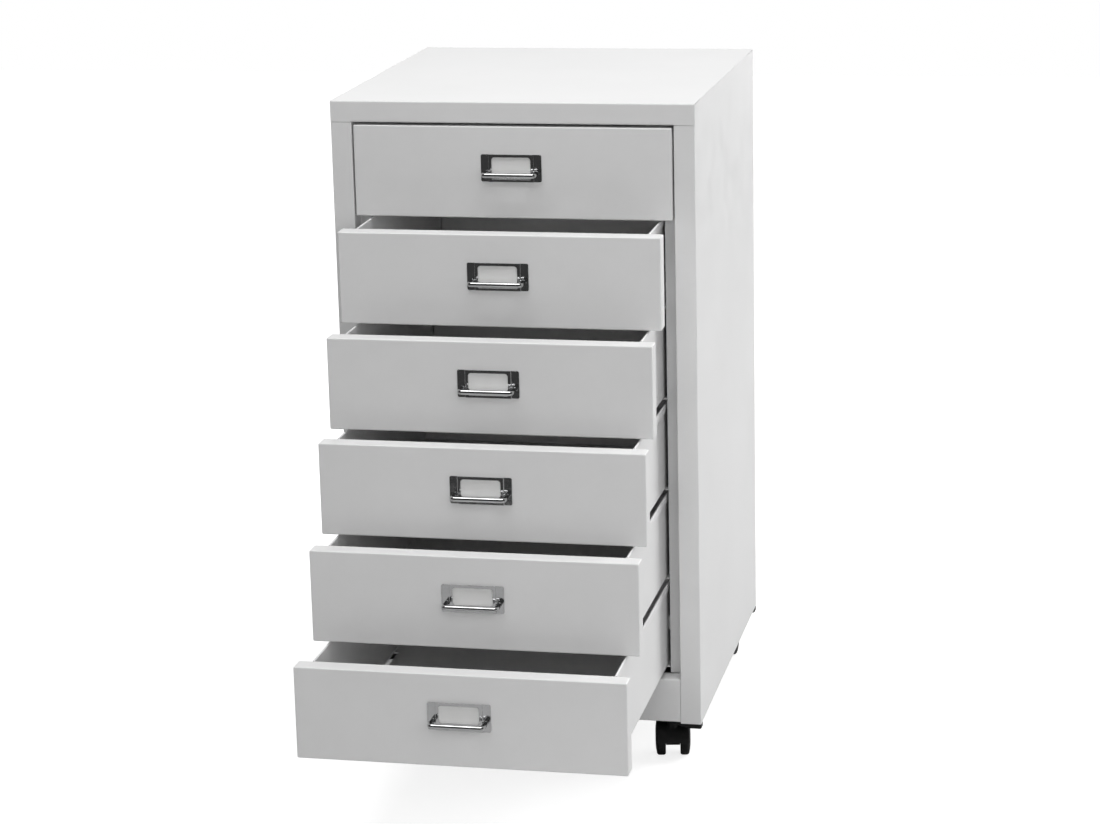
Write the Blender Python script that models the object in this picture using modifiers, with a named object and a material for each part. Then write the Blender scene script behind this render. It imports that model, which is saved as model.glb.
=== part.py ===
"""Steel mobile pedestal with six drawers on four twin-wheel castors.

Metres, +Z up. The drawers face -Y and stand pulled out in steps, the top one shut.
The origin is on the floor, under the middle of the pedestal's box in that pose.
"""
import math

import bmesh
import bpy
from mathutils import Matrix, Vector

# Clearances
SEAM = 0.0003                   # between pieces that lie against each other
RUNNING_CLEARANCE = 0.0003      # between a shaft and its bore, and beside a wheel

# Cabinet
CABINET_WIDTH = 0.360
CABINET_DEPTH = 0.385
SHEET = 0.0008                  # cabinet sheet
STILE_WIDTH = 0.0206
REBATE_DEPTH = 0.0205           # from the front plane back to the set-back flange
SETBACK_FLANGE = 0.013
LIP_HEIGHT = 0.0212
LIP_RETURN = 0.012
RAIL_HEIGHT = 0.0465
LEDGE_DROP = 0.010
REAR_FLANGE = 0.012
SEAT_FLANGE = 0.030             # side panel flanges under the top and under the floor
FOLD_RELIEF = 0.030             # seat flanges stop this far from the front and the back

# Drawers
DRAWER_COUNT = 6
PULLED_OUT = (0.0, 0.2464, 0.4286, 0.5786, 0.7357, 0.9714)      # shares of the travel, top drawer first
FRONT_HEIGHT = 0.090
FRONT_GAP = 0.0027
FRONT_SIDE_GAP = 0.0017
FRONT_THICKNESS = 0.0185
FRONT_SHEET = 0.0008
FRONT_RETURN = 0.016            # fold behind the front, all round
TRAY_SHEET = 0.0007
TRAY_SIDE_CLEARANCE = 0.0034    # tray wall to set-back flange
TRAY_REAR_CLEARANCE = 0.045
TRAY_LIFT = 0.0039              # tray floor above the front's lower edge
STOP_TO_BACK = 0.0365           # front of the stop tab to the back of the tray
STOP_OVERLAP = 0.005            # stop tab behind the set-back flange
STOP_HEIGHT = 0.014
STOP_THICKNESS = 0.0012
SLOT_WIDTH = 0.005
SLOT_LENGTH = 0.058
SLOT_TO_STOP = 0.010
SLOT_TO_WALL = 0.0005

# Runner racks
RACK_SHEET = 0.001
RUNNER_OVERLAP = 0.008          # runner under the edge of the tray
RACK_FOOT = 0.010
RACK_REAR_CLEARANCE = 0.012

# Label holder, card and wire pull
HOLDER_WIDTH = 0.060
HOLDER_HEIGHT = 0.0267
HOLDER_ABOVE_MIDDLE = 0.0045
HOLDER_SHEET = 0.0008
POCKET_WIDTH = 0.0446
POCKET_RISE = 0.001             # pocket face in front of the wings
WINDOW_SIDE_MARGIN = 0.003
WINDOW_TOP_MARGIN = 0.0027
WINDOW_BOTTOM_MARGIN = 0.0068
CARD_THICKNESS = 0.0003
CARD_END_MARGIN = 0.001
WIRE_DIAMETER = 0.0048
PULL_REACH = 0.0155             # front face to the middle of the bar
PULL_DROP = 0.0049              # bar below the middle of the holder
PULL_BEND = 0.0028

# Castors
WHEEL_DIAMETER = 0.040
WHEEL_WIDTH = 0.0096
WHEEL_SHOULDER = 0.003
WHEEL_DISH = 0.0015
WHEEL_RIM = 0.0055
AXLE_DIAMETER = 0.006
AXLE_INSET = 0.0008             # axle end inside the wheel's outer face
HOOD_WEB = 0.0142
HOOD_LOWER_RADIUS = 0.010
COVER_CLEARANCE = 0.001
COVER_THICKNESS = 0.0018
COVER_REAR_ANGLE = -5.0         # degrees from level behind the axle, going up and forwards
COVER_FRONT_ANGLE = 182.0
WEB_ANGLE_INSET = 4.0           # web inside the ends of the cover, in degrees
BOSS_INSET = 0.0006             # boss inside the sides of the web
BOSS_DEPTH = 0.016
COLLAR_HEIGHT = 0.0032
STEM_DIAMETER = 0.008
STEM_TIP_DEPTH = 0.0005         # stem end below the top of its plate
TRAIL = 0.012
STEM_INSET = 0.035
FRONT_CASTOR_TURN = 10.0        # degrees; the rear castors stand straight
PLATE_SIZE = 0.052
PLATE_THICKNESS = 0.0045
PLATE_TIP = 0.012               # run along each side of the cabinet from its corner
PLATE_BACK = 0.028              # length of the two inner edges

# Facets
WHEEL_STEPS = 32
ROUND_SIDES = 24
ARC_STEPS = 16
BEND_STEPS = 4

# Worked out from the sizes above
HALF_WIDTH = CABINET_WIDTH / 2
DRAWER_PITCH = FRONT_HEIGHT + FRONT_GAP
OPENING_HEIGHT = DRAWER_COUNT * DRAWER_PITCH + FRONT_GAP
CABINET_HEIGHT = RAIL_HEIGHT + OPENING_HEIGHT + LIP_HEIGHT
OPENING_HALF = HALF_WIDTH - STILE_WIDTH
FLANGE_EDGE = OPENING_HALF - SETBACK_FLANGE
FLANGE_BACK = REBATE_DEPTH + SHEET
SIDE_INNER = HALF_WIDTH - SHEET
SIDE_TOP = CABINET_HEIGHT - SHEET - SEAM
LIP_BOTTOM = CABINET_HEIGHT - LIP_HEIGHT
FLOOR_BOTTOM = SHEET + SEAM
FLOOR_TOP = FLOOR_BOTTOM + SHEET
BACK_OUTER = CABINET_DEPTH - SHEET - SEAM
BACK_INNER = BACK_OUTER - SHEET
FRONT_HALF = OPENING_HALF - FRONT_SIDE_GAP
TRAY_HALF = FLANGE_EDGE - TRAY_SIDE_CLEARANCE
TRAY_FRONT = FRONT_THICKNESS + SEAM
TRAY_BACK = BACK_INNER - TRAY_REAR_CLEARANCE
STOP_FRONT = TRAY_BACK - STOP_TO_BACK
DRAWER_TRAVEL = STOP_FRONT - SEAM - FLANGE_BACK
RUNNER_TOP = RAIL_HEIGHT + FRONT_GAP + TRAY_LIFT - SEAM
HOLDER_MIDDLE = FRONT_HEIGHT / 2 + HOLDER_ABOVE_MIDDLE
WING_FACE = SEAM + HOLDER_SHEET
POCKET_FACE = WING_FACE + POCKET_RISE
LEG_X = POCKET_WIDTH / 2 + WIRE_DIAMETER / 2 + SEAM
WHEEL_RADIUS = WHEEL_DIAMETER / 2
COVER_INNER = WHEEL_RADIUS + COVER_CLEARANCE
COVER_OUTER = COVER_INNER + COVER_THICKNESS
CASTOR_HEIGHT = WHEEL_RADIUS + COVER_OUTER + COLLAR_HEIGHT
WHEEL_INNER_FACE = HOOD_WEB / 2 + RUNNING_CLEARANCE
CASTOR_HALF = WHEEL_INNER_FACE + WHEEL_WIDTH
CABINET_BOTTOM = CASTOR_HEIGHT + PLATE_THICKNESS + SEAM
FRONT_REACH = max(PULLED_OUT) * DRAWER_TRAVEL + PULL_REACH + WIRE_DIAMETER / 2
FRONT_PLANE = (FRONT_REACH - CABINET_DEPTH) / 2

NEAR = 1e-6


def clear_scene():
    for item in list(bpy.data.objects):
        bpy.data.objects.remove(item, do_unlink=True)


def make_collection(name):
    collection = bpy.data.collections.new(name)
    bpy.context.scene.collection.children.link(collection)
    return collection


def make_material(name, colour, roughness, metallic):
    material = bpy.data.materials.new(name)
    material.use_nodes = True
    shader = material.node_tree.nodes["Principled BSDF"]
    shader.inputs["Base Color"].default_value = (*colour, 1.0)
    shader.inputs["Roughness"].default_value = roughness
    shader.inputs["Metallic"].default_value = metallic
    return material


# Mesh helpers

def mesh_from(bm, name):
    mesh = bpy.data.meshes.new(name)
    bm.to_mesh(mesh)
    bm.free()
    return mesh


def add_box(bm, low, high):
    low = Vector(low)
    high = Vector(high)
    cube = bmesh.ops.create_cube(bm, size=1.0)
    bmesh.ops.scale(bm, vec=high - low, verts=cube["verts"])
    bmesh.ops.translate(bm, vec=(low + high) / 2, verts=cube["verts"])
    return cube["verts"]


def box_mesh(name, *boxes):
    bm = bmesh.new()
    for low, high in boxes:
        add_box(bm, low, high)
    return mesh_from(bm, name)


def cylinder_mesh(name, radius, start, end, sides=ROUND_SIDES):
    start = Vector(start)
    end = Vector(end)
    run = end - start
    turn = Vector((0, 0, 1)).rotation_difference(run).to_matrix().to_4x4()
    bm = bmesh.new()
    bmesh.ops.create_cone(bm, cap_ends=True, segments=sides, radius1=radius, radius2=radius,
                          depth=run.length, matrix=Matrix.Translation((start + end) / 2) @ turn)
    return mesh_from(bm, name)


def prism_mesh(name, outline, half_width):
    """Extrude an outline of (y, z) points to both sides along X."""
    bm = bmesh.new()
    face = bm.faces.new([bm.verts.new((-half_width, y, z)) for y, z in outline])
    grown = bmesh.ops.extrude_face_region(bm, geom=[face])
    moved = [item for item in grown["geom"] if isinstance(item, bmesh.types.BMVert)]
    bmesh.ops.translate(bm, vec=(2 * half_width, 0, 0), verts=moved)
    bmesh.ops.recalc_face_normals(bm, faces=bm.faces)
    return mesh_from(bm, name)


def arc(radius, start, end, centre, steps=ARC_STEPS):
    """Points of an arc about centre, with angles in degrees from +Y towards +Z."""
    points = []
    for step in range(steps + 1):
        angle = math.radians(start + (end - start) * step / steps)
        points.append((centre[0] + radius * math.cos(angle), centre[1] + radius * math.sin(angle)))
    return points


def evaluated_mesh(item, name):
    graph = bpy.context.evaluated_depsgraph_get()
    mesh = bpy.data.meshes.new_from_object(item.evaluated_get(graph))
    mesh.name = name
    bpy.data.objects.remove(item, do_unlink=True)
    return mesh


def combined(base, cutters, joined=(), cut=()):
    """Return base with the joined meshes added and the cut meshes taken away."""
    carrier = bpy.data.objects.new(base.name, base)
    cutters.objects.link(carrier)
    tools = []
    for operation, meshes in (("UNION", joined), ("DIFFERENCE", cut)):
        for mesh in meshes:
            tool = bpy.data.objects.new(mesh.name, mesh)
            tool.display_type = "WIRE"
            tool.hide_render = True
            cutters.objects.link(tool)
            tools.append(tool)
            modifier = carrier.modifiers.new(mesh.name, "BOOLEAN")
            modifier.operation = operation
            modifier.object = tool
    mesh = evaluated_mesh(carrier, base.name)
    for tool in tools:
        bpy.data.objects.remove(tool, do_unlink=True)
    return mesh


def mirrored(mesh, name):
    copy = mesh.copy()
    copy.name = name
    copy.transform(Matrix.Scale(-1, 4, (1, 0, 0)))
    copy.flip_normals()
    return copy


def shaded(mesh, angle=35.0):
    mesh.shade_smooth()
    mesh.set_sharp_from_angle(angle=math.radians(angle))
    return mesh


# Sheet metal helpers

def flat_blank(bm, first, along, across):
    """Lay a flat rectangle from one corner and its two sides."""
    first = Vector(first)
    along = Vector(along)
    across = Vector(across)
    corners = (first, first + along, first + along + across, first + across)
    bm.faces.new([bm.verts.new(corner) for corner in corners])


def score(bm, axis, *places):
    """Split the blank where a fold starts or ends."""
    index = "xyz".index(axis)
    for place in places:
        point = Vector((0, 0, 0))
        normal = Vector((0, 0, 0))
        point[index] = place
        normal[index] = 1.0
        geometry = bm.verts[:] + bm.edges[:] + bm.faces[:]
        bmesh.ops.bisect_plane(bm, geom=geometry, dist=NEAR, plane_co=point, plane_no=normal)


def edges_on(edges, axis, place, span_axis=None, low=0.0, high=0.0):
    """Pick the edges that lie at a place along one axis, inside a span of another."""
    index = "xyz".index(axis)
    picked = []
    for edge in edges:
        if any(abs(vert.co[index] - place) > NEAR for vert in edge.verts):
            continue
        if span_axis:
            middle = (edge.verts[0].co + edge.verts[1].co)["xyz".index(span_axis)] / 2
            if not low < middle < high:
                continue
        picked.append(edge)
    return picked


def fold(bm, edges, offset):
    """Grow a flange from edges and return its free edges."""
    grown = bmesh.ops.extrude_edge_only(bm, edges=edges)["geom"]
    moved = [item for item in grown if isinstance(item, bmesh.types.BMVert)]
    bmesh.ops.translate(bm, vec=offset, verts=moved)
    free = set(moved)
    return [item for item in grown if isinstance(item, bmesh.types.BMEdge) and free.issuperset(item.verts)]


def sheet_mesh(bm, name, thickness, outward):
    """Thicken a folded blank away from the side that its widest face shows."""
    bmesh.ops.recalc_face_normals(bm, faces=bm.faces)
    widest = max(bm.faces, key=lambda face: face.calc_area())
    if widest.normal.dot(Vector(outward)) < 0:
        bmesh.ops.reverse_faces(bm, faces=bm.faces)
    item = bpy.data.objects.new(name, mesh_from(bm, name))
    bpy.context.scene.collection.objects.link(item)
    solidify = item.modifiers.new("Sheet", "SOLIDIFY")
    solidify.thickness = thickness
    solidify.offset = -1.0
    solidify.use_even_offset = True
    solidify.use_quality_normals = True
    return evaluated_mesh(item, name)


# Cabinet, with its front face at y = 0 and its lower edge at z = 0

def top_panel_mesh():
    rear_half = HALF_WIDTH - REAR_FLANGE - SEAM
    bm = bmesh.new()
    flat_blank(bm, (-HALF_WIDTH, 0, CABINET_HEIGHT), (CABINET_WIDTH, 0, 0), (0, CABINET_DEPTH, 0))
    score(bm, "x", -rear_half, rear_half, -OPENING_HALF, OPENING_HALF)
    front = edges_on(bm.edges, "y", 0.0)
    rear = edges_on(bm.edges, "y", CABINET_DEPTH, "x", -rear_half, rear_half)
    lip = fold(bm, front, (0, 0, -LIP_HEIGHT))
    fold(bm, edges_on(lip, "y", 0.0, "x", -OPENING_HALF, OPENING_HALF), (0, LIP_RETURN, 0))
    fold(bm, rear, (0, 0, -REAR_FLANGE))
    return sheet_mesh(bm, "top_panel", SHEET, (0, 0, 1))


def right_side_mesh():
    lip_clear = SHEET + SEAM
    stile_top = LIP_BOTTOM - SEAM
    bm = bmesh.new()
    flat_blank(bm, (HALF_WIDTH, 0, 0), (0, CABINET_DEPTH, 0), (0, 0, SIDE_TOP))
    score(bm, "y", lip_clear, FOLD_RELIEF, CABINET_DEPTH - FOLD_RELIEF)
    score(bm, "z", RAIL_HEIGHT, stile_top)
    notch = [face for face in bm.faces
             if face.calc_center_median().y < lip_clear and face.calc_center_median().z > stile_top]
    bmesh.ops.delete(bm, geom=notch, context="FACES")
    front = edges_on(bm.edges, "y", 0.0)
    rear = edges_on(bm.edges, "y", CABINET_DEPTH)
    seat = ("y", FOLD_RELIEF, CABINET_DEPTH - FOLD_RELIEF)
    top = edges_on(bm.edges, "z", SIDE_TOP, *seat)
    bottom = edges_on(bm.edges, "z", 0.0, *seat)
    stile = fold(bm, front, (-STILE_WIDTH, 0, 0))
    rebate = fold(bm, stile, (0, REBATE_DEPTH, 0))
    fold(bm, edges_on(rebate, "y", REBATE_DEPTH, "z", RAIL_HEIGHT, stile_top), (-SETBACK_FLANGE, 0, 0))
    fold(bm, rear, (-REAR_FLANGE, 0, 0))
    fold(bm, top, (-SEAT_FLANGE, 0, 0))
    fold(bm, bottom, (-SEAT_FLANGE, 0, 0))
    return sheet_mesh(bm, "right_side_panel", SHEET, (1, 0, 0))


def bottom_panel_mesh():
    half = OPENING_HALF - SEAM
    bm = bmesh.new()
    flat_blank(bm, (-half, 0, FLOOR_BOTTOM), (2 * half, 0, 0), (0, CABINET_DEPTH, 0))
    front = edges_on(bm.edges, "y", 0.0)
    rear = edges_on(bm.edges, "y", CABINET_DEPTH)
    rail = fold(bm, front, (0, 0, RAIL_HEIGHT - FLOOR_BOTTOM))
    ledge = fold(bm, rail, (0, REBATE_DEPTH - SEAM, 0))
    fold(bm, ledge, (0, 0, -LEDGE_DROP))
    fold(bm, rear, (0, 0, REAR_FLANGE))
    return sheet_mesh(bm, "bottom_panel", SHEET, (0, 0, -1))


def back_panel_mesh():
    half = SIDE_INNER - SEAM
    return box_mesh("back_panel", ((-half, BACK_INNER, FLOOR_TOP + SEAM), (half, BACK_OUTER, SIDE_TOP)))


def right_rack_mesh():
    """A web against the side panel, with a runner under each tray and one more above the top tray."""
    outer = SIDE_INNER - SEAM
    web = outer - RACK_SHEET
    front = FLANGE_BACK + SEAM
    back = BACK_INNER - RACK_REAR_CLEARANCE
    runner_tops = [RUNNER_TOP + number * DRAWER_PITCH for number in range(DRAWER_COUNT + 1)]
    bm = bmesh.new()
    add_box(bm, (web, front, runner_tops[0] - RACK_SHEET - RACK_FOOT), (outer, back, runner_tops[-1]))
    for top in runner_tops[:-1]:
        score(bm, "z", top - RACK_SHEET, top)
    score(bm, "z", runner_tops[-1] - RACK_SHEET)
    ends = [face for face in bm.faces if abs(face.normal.x + 1) < NEAR
            and any(abs(face.calc_center_median().z - top + RACK_SHEET / 2) < NEAR for top in runner_tops)]
    for face in ends:
        grown = bmesh.ops.extrude_discrete_faces(bm, faces=[face])["faces"]
        bmesh.ops.translate(bm, vec=(TRAY_HALF - RUNNER_OVERLAP - web, 0, 0), verts=grown[0].verts)
    bmesh.ops.recalc_face_normals(bm, faces=bm.faces)
    return mesh_from(bm, "right_runner_rack")


# Drawer, with its shut front face at y = 0 and its lower edge at z = 0

def front_mesh():
    bm = bmesh.new()
    add_box(bm, (-FRONT_HALF, 0, 0), (FRONT_HALF, FRONT_THICKNESS, FRONT_HEIGHT))
    rear = [face for face in bm.faces if face.normal.y > 1 - NEAR]
    bmesh.ops.inset_region(bm, faces=rear, thickness=FRONT_RETURN, use_even_offset=True)
    bmesh.ops.delete(bm, geom=rear, context="FACES")
    return sheet_mesh(bm, "drawer_front", FRONT_SHEET, (0, -1, 0))


def tray_mesh(cutters):
    bm = bmesh.new()
    add_box(bm, (-TRAY_HALF, TRAY_FRONT, TRAY_LIFT), (TRAY_HALF, TRAY_BACK, FRONT_HEIGHT))
    top = [face for face in bm.faces if face.normal.z > 1 - NEAR]
    bmesh.ops.delete(bm, geom=top, context="FACES")
    tray = sheet_mesh(bm, "drawer_tray", TRAY_SHEET, (0, 0, -1))
    root = TRAY_HALF - TRAY_SHEET / 2
    reach = FLANGE_EDGE + STOP_OVERLAP
    stop_back = STOP_FRONT + STOP_THICKNESS
    stop_low = (TRAY_LIFT + FRONT_HEIGHT - STOP_HEIGHT) / 2
    slot_outer = TRAY_HALF - TRAY_SHEET - SLOT_TO_WALL
    slot_back = STOP_FRONT - SLOT_TO_STOP
    right_stop = box_mesh("right_stop_tab", ((root, STOP_FRONT, stop_low),
                                             (reach, stop_back, stop_low + STOP_HEIGHT)))
    right_slot = box_mesh("right_floor_slot", ((slot_outer - SLOT_WIDTH, slot_back - SLOT_LENGTH, 0),
                                               (slot_outer, slot_back, 2 * TRAY_LIFT)))
    stops = (right_stop, mirrored(right_stop, "left_stop_tab"))
    slots = (right_slot, mirrored(right_slot, "left_floor_slot"))
    return combined(tray, cutters, joined=stops, cut=slots)


def holder_mesh(cutters):
    """Folded frame: two flat wings and a raised pocket with a window."""
    half_height = HOLDER_HEIGHT / 2
    wing = (HOLDER_WIDTH - POCKET_WIDTH) / 2
    lower_left = (-POCKET_WIDTH / 2, -POCKET_FACE, -half_height)
    bm = bmesh.new()
    flat_blank(bm, lower_left, (POCKET_WIDTH, 0, 0), (0, 0, HOLDER_HEIGHT))
    for side in (-1, 1):
        pocket_edge = edges_on(bm.edges, "x", side * POCKET_WIDTH / 2)
        step = fold(bm, pocket_edge, (0, POCKET_RISE, 0))
        fold(bm, step, (side * wing, 0, 0))
    holder = sheet_mesh(bm, "label_holder", HOLDER_SHEET, (0, -1, 0))
    window_half = POCKET_WIDTH / 2 - WINDOW_SIDE_MARGIN
    window_low = WINDOW_BOTTOM_MARGIN - half_height
    window_high = half_height - WINDOW_TOP_MARGIN
    window = box_mesh("holder_window", ((-window_half, -2 * POCKET_FACE, window_low),
                                        (window_half, 0, window_high)))
    return combined(holder, cutters, cut=[window])


def card_mesh():
    half = POCKET_WIDTH / 2 - HOLDER_SHEET - SEAM
    end = HOLDER_HEIGHT / 2 - CARD_END_MARGIN
    face = POCKET_FACE - HOLDER_SHEET - SEAM
    return box_mesh("label_card", ((-half, -face, -end), (half, CARD_THICKNESS - face, end)))


def pull_points():
    """Centre line of the wire: a leg straight out of each wing, a bend and the bar."""
    root = Vector((LEG_X, -WING_FACE - SEAM, -PULL_DROP))
    centre = Vector((LEG_X - PULL_BEND, PULL_BEND - PULL_REACH, -PULL_DROP))
    half = [root]
    for step in range(BEND_STEPS + 1):
        angle = math.pi / 2 * step / BEND_STEPS
        half.append(centre + PULL_BEND * Vector((math.cos(angle), -math.sin(angle), 0)))
    return half + [Vector((-point.x, point.y, point.z)) for point in reversed(half)]


def pull_curve():
    curve = bpy.data.curves.new("wire_pull", "CURVE")
    curve.dimensions = "3D"
    curve.bevel_depth = WIRE_DIAMETER / 2
    curve.bevel_resolution = 2
    curve.use_fill_caps = True
    points = pull_points()
    spline = curve.splines.new("POLY")
    spline.points.add(len(points) - 1)
    for target, point in zip(spline.points, points):
        target.co = (*point, 1.0)
    return curve


# Castor, with its stem on the Z axis and the floor at z = 0

def hood_mesh(cutters):
    axle = (TRAIL, WHEEL_RADIUS)
    crown = arc(COVER_OUTER, COVER_REAR_ANGLE, COVER_FRONT_ANGLE, axle)
    lining = arc(COVER_INNER, COVER_FRONT_ANGLE, COVER_REAR_ANGLE, axle)
    cover = prism_mesh("hood_cover", crown + lining, CASTOR_HALF)
    web_rear = COVER_REAR_ANGLE + WEB_ANGLE_INSET
    web_front = COVER_FRONT_ANGLE - WEB_ANGLE_INSET
    neck = arc(COVER_INNER + COVER_THICKNESS / 2, web_rear, web_front, axle)
    belly = arc(HOOD_LOWER_RADIUS, web_front, web_rear + 360, axle)
    web = prism_mesh("castor_hood", neck + belly, HOOD_WEB / 2)
    collar = CASTOR_HEIGHT - SEAM
    boss = cylinder_mesh("hood_boss", HOOD_WEB / 2 - BOSS_INSET, (0, 0, collar - BOSS_DEPTH), (0, 0, collar))
    stem_top = CASTOR_HEIGHT + PLATE_THICKNESS - STEM_TIP_DEPTH
    stem = cylinder_mesh("hood_stem", STEM_DIAMETER / 2, (0, 0, collar - BOSS_DEPTH / 2), (0, 0, stem_top))
    bore = cylinder_mesh("hood_bore", AXLE_DIAMETER / 2 + RUNNING_CLEARANCE,
                         (-HOOD_WEB, TRAIL, WHEEL_RADIUS), (HOOD_WEB, TRAIL, WHEEL_RADIUS))
    return shaded(combined(web, cutters, joined=[cover, boss, stem], cut=[bore]))


def wheel_mesh():
    """Turn a wheel about Z, with its inner face at z = 0 and its outer face up."""
    bore = AXLE_DIAMETER / 2 + RUNNING_CLEARANCE
    rim = WHEEL_RADIUS - WHEEL_RIM
    shoulder = WHEEL_RADIUS - WHEEL_SHOULDER / 2
    dish = WHEEL_WIDTH - WHEEL_DISH
    profile = [(bore, dish), (rim - WHEEL_DISH, dish), (rim, WHEEL_WIDTH),
               (shoulder, WHEEL_WIDTH - WHEEL_DISH / 2), (WHEEL_RADIUS, WHEEL_WIDTH - WHEEL_SHOULDER),
               (WHEEL_RADIUS, WHEEL_DISH), (WHEEL_RADIUS - WHEEL_DISH, 0), (bore, 0)]
    bm = bmesh.new()
    verts = [bm.verts.new((radius, 0, height)) for radius, height in profile]
    for start, end in zip(verts, verts[1:] + verts[:1]):
        bm.edges.new((start, end))
    item = bpy.data.objects.new("castor_wheel", mesh_from(bm, "castor_wheel"))
    bpy.context.scene.collection.objects.link(item)
    screw = item.modifiers.new("Turned", "SCREW")
    screw.axis = "Z"
    screw.steps = WHEEL_STEPS
    screw.render_steps = WHEEL_STEPS
    screw.use_merge_vertices = True
    screw.merge_threshold = 1e-5
    return shaded(evaluated_mesh(item, "castor_wheel"))


def plate_mesh(cutters):
    """Corner plate for the front right corner, with its lower face at z = 0."""
    far = PLATE_SIZE - STEM_INSET
    outline = ((STEM_INSET, -STEM_INSET), (STEM_INSET, PLATE_TIP - STEM_INSET), (PLATE_BACK - far, far),
               (-far, far), (-far, far - PLATE_BACK), (STEM_INSET - PLATE_TIP, -STEM_INSET))
    bm = bmesh.new()
    lower = bm.faces.new([bm.verts.new((x, y, 0)) for x, y in outline])
    grown = bmesh.ops.extrude_face_region(bm, geom=[lower])["geom"]
    raised = [item for item in grown if isinstance(item, bmesh.types.BMVert)]
    bmesh.ops.translate(bm, vec=(0, 0, PLATE_THICKNESS), verts=raised)
    bmesh.ops.recalc_face_normals(bm, faces=bm.faces)
    socket = cylinder_mesh("stem_socket", STEM_DIAMETER / 2 + RUNNING_CLEARANCE,
                           (0, 0, -PLATE_THICKNESS), (0, 0, 2 * PLATE_THICKNESS))
    return combined(mesh_from(bm, "castor_plate"), cutters, cut=[socket])


# Assembly

class Assembly:
    """Places named pieces and the empties that carry them."""

    def __init__(self, collection):
        self.collection = collection

    def carrier(self, name, parent, place, turn=(0, 0, 0)):
        empty = bpy.data.objects.new(name, None)
        self.collection.objects.link(empty)
        empty.parent = parent
        empty.location = place
        empty.rotation_euler = turn
        return empty

    def piece(self, name, data, material, parent, place=(0, 0, 0), turn=(0, 0, 0)):
        item = bpy.data.objects.new(name, data)
        self.collection.objects.link(item)
        item.parent = parent
        item.location = place
        item.rotation_euler = turn
        if not data.materials:
            data.materials.append(material)
        return item


def build_cabinet(assembly, cabinet, paint):
    right_side = right_side_mesh()
    right_rack = right_rack_mesh()
    assembly.piece("top_panel", top_panel_mesh(), paint, cabinet)
    assembly.piece("bottom_panel", bottom_panel_mesh(), paint, cabinet)
    assembly.piece("back_panel", back_panel_mesh(), paint, cabinet)
    assembly.piece("right_side_panel", right_side, paint, cabinet)
    assembly.piece("left_side_panel", mirrored(right_side, "left_side_panel"), paint, cabinet)
    assembly.piece("right_runner_rack", right_rack, paint, cabinet)
    assembly.piece("left_runner_rack", mirrored(right_rack, "left_runner_rack"), paint, cabinet)


def build_drawers(assembly, cabinet, cutters, paint, chrome, paper):
    front = front_mesh()
    tray = tray_mesh(cutters)
    holder = holder_mesh(cutters)
    card = card_mesh()
    pull = pull_curve()
    on_front = (0, 0, HOLDER_MIDDLE)
    for number, share in enumerate(PULLED_OUT, start=1):
        height = RAIL_HEIGHT + FRONT_GAP + (DRAWER_COUNT - number) * DRAWER_PITCH
        drawer = assembly.carrier(f"drawer_{number}", cabinet, (0, -share * DRAWER_TRAVEL, height))
        assembly.piece(f"drawer_front_{number}", front, paint, drawer)
        assembly.piece(f"drawer_tray_{number}", tray, paint, drawer)
        assembly.piece(f"label_holder_{number}", holder, chrome, drawer, on_front)
        assembly.piece(f"label_card_{number}", card, paper, drawer, on_front)
        assembly.piece(f"wire_pull_{number}", pull, chrome, drawer, on_front)


def build_castors(assembly, root, cutters, plastic, steel):
    hood = hood_mesh(cutters)
    wheel = wheel_mesh()
    plate = plate_mesh(cutters)
    axle_half = CASTOR_HALF - WHEEL_DISH - AXLE_INSET
    axle = shaded(cylinder_mesh("castor_axle", AXLE_DIAMETER / 2, (-axle_half, 0, 0), (axle_half, 0, 0)))
    stem_x = HALF_WIDTH - STEM_INSET
    stem_front = FRONT_PLANE + STEM_INSET
    stem_back = FRONT_PLANE + CABINET_DEPTH - STEM_INSET
    front_turn = math.radians(FRONT_CASTOR_TURN)
    corners = (("front_right", stem_x, stem_front, front_turn), ("rear_right", stem_x, stem_back, 0),
               ("rear_left", -stem_x, stem_back, 0), ("front_left", -stem_x, stem_front, front_turn))
    for quarter, (corner, x, y, turn) in enumerate(corners):
        castor = assembly.carrier(f"{corner}_castor", root, (x, y, 0), (0, 0, turn))
        on_axle = (0, TRAIL, WHEEL_RADIUS)
        assembly.piece(f"{corner}_castor_plate", plate, plastic, root, (x, y, CASTOR_HEIGHT),
                       (0, 0, quarter * math.pi / 2))
        assembly.piece(f"{corner}_castor_hood", hood, plastic, castor)
        assembly.piece(f"{corner}_castor_axle", axle, steel, castor, on_axle)
        for side, name in ((-1, "left"), (1, "right")):
            assembly.piece(f"{corner}_castor_wheel_{name}", wheel, plastic, castor,
                           (side * WHEEL_INNER_FACE, TRAIL, WHEEL_RADIUS), (0, side * math.pi / 2, 0))


def build_pedestal():
    clear_scene()
    assembly = Assembly(make_collection("mobile_pedestal"))
    cutters = make_collection("cutters")
    paint = make_material("powder_coat", (0.78, 0.78, 0.78), 0.45, 0.0)
    chrome = make_material("chrome_plate", (0.62, 0.62, 0.63), 0.10, 1.0)
    paper = make_material("card_paper", (0.86, 0.86, 0.85), 0.85, 0.0)
    plastic = make_material("black_plastic", (0.015, 0.015, 0.016), 0.40, 0.0)
    steel = make_material("axle_steel", (0.45, 0.45, 0.46), 0.35, 1.0)
    root = assembly.carrier("pedestal", None, (0, 0, 0))
    cabinet = assembly.carrier("cabinet", root, (0, FRONT_PLANE, CABINET_BOTTOM))
    build_cabinet(assembly, cabinet, paint)
    build_drawers(assembly, cabinet, cutters, paint, chrome, paper)
    build_castors(assembly, root, cutters, plastic, steel)
    bpy.context.view_layer.update()


build_pedestal()
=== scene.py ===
"""Looks of the steel mobile pedestal: folded sheet panels, drawers, chrome pulls and black castors.

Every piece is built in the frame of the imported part, in metres, and rides on one of its bodies.
"""
import math

import bmesh
import bpy
from mathutils import Matrix, Vector


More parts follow.
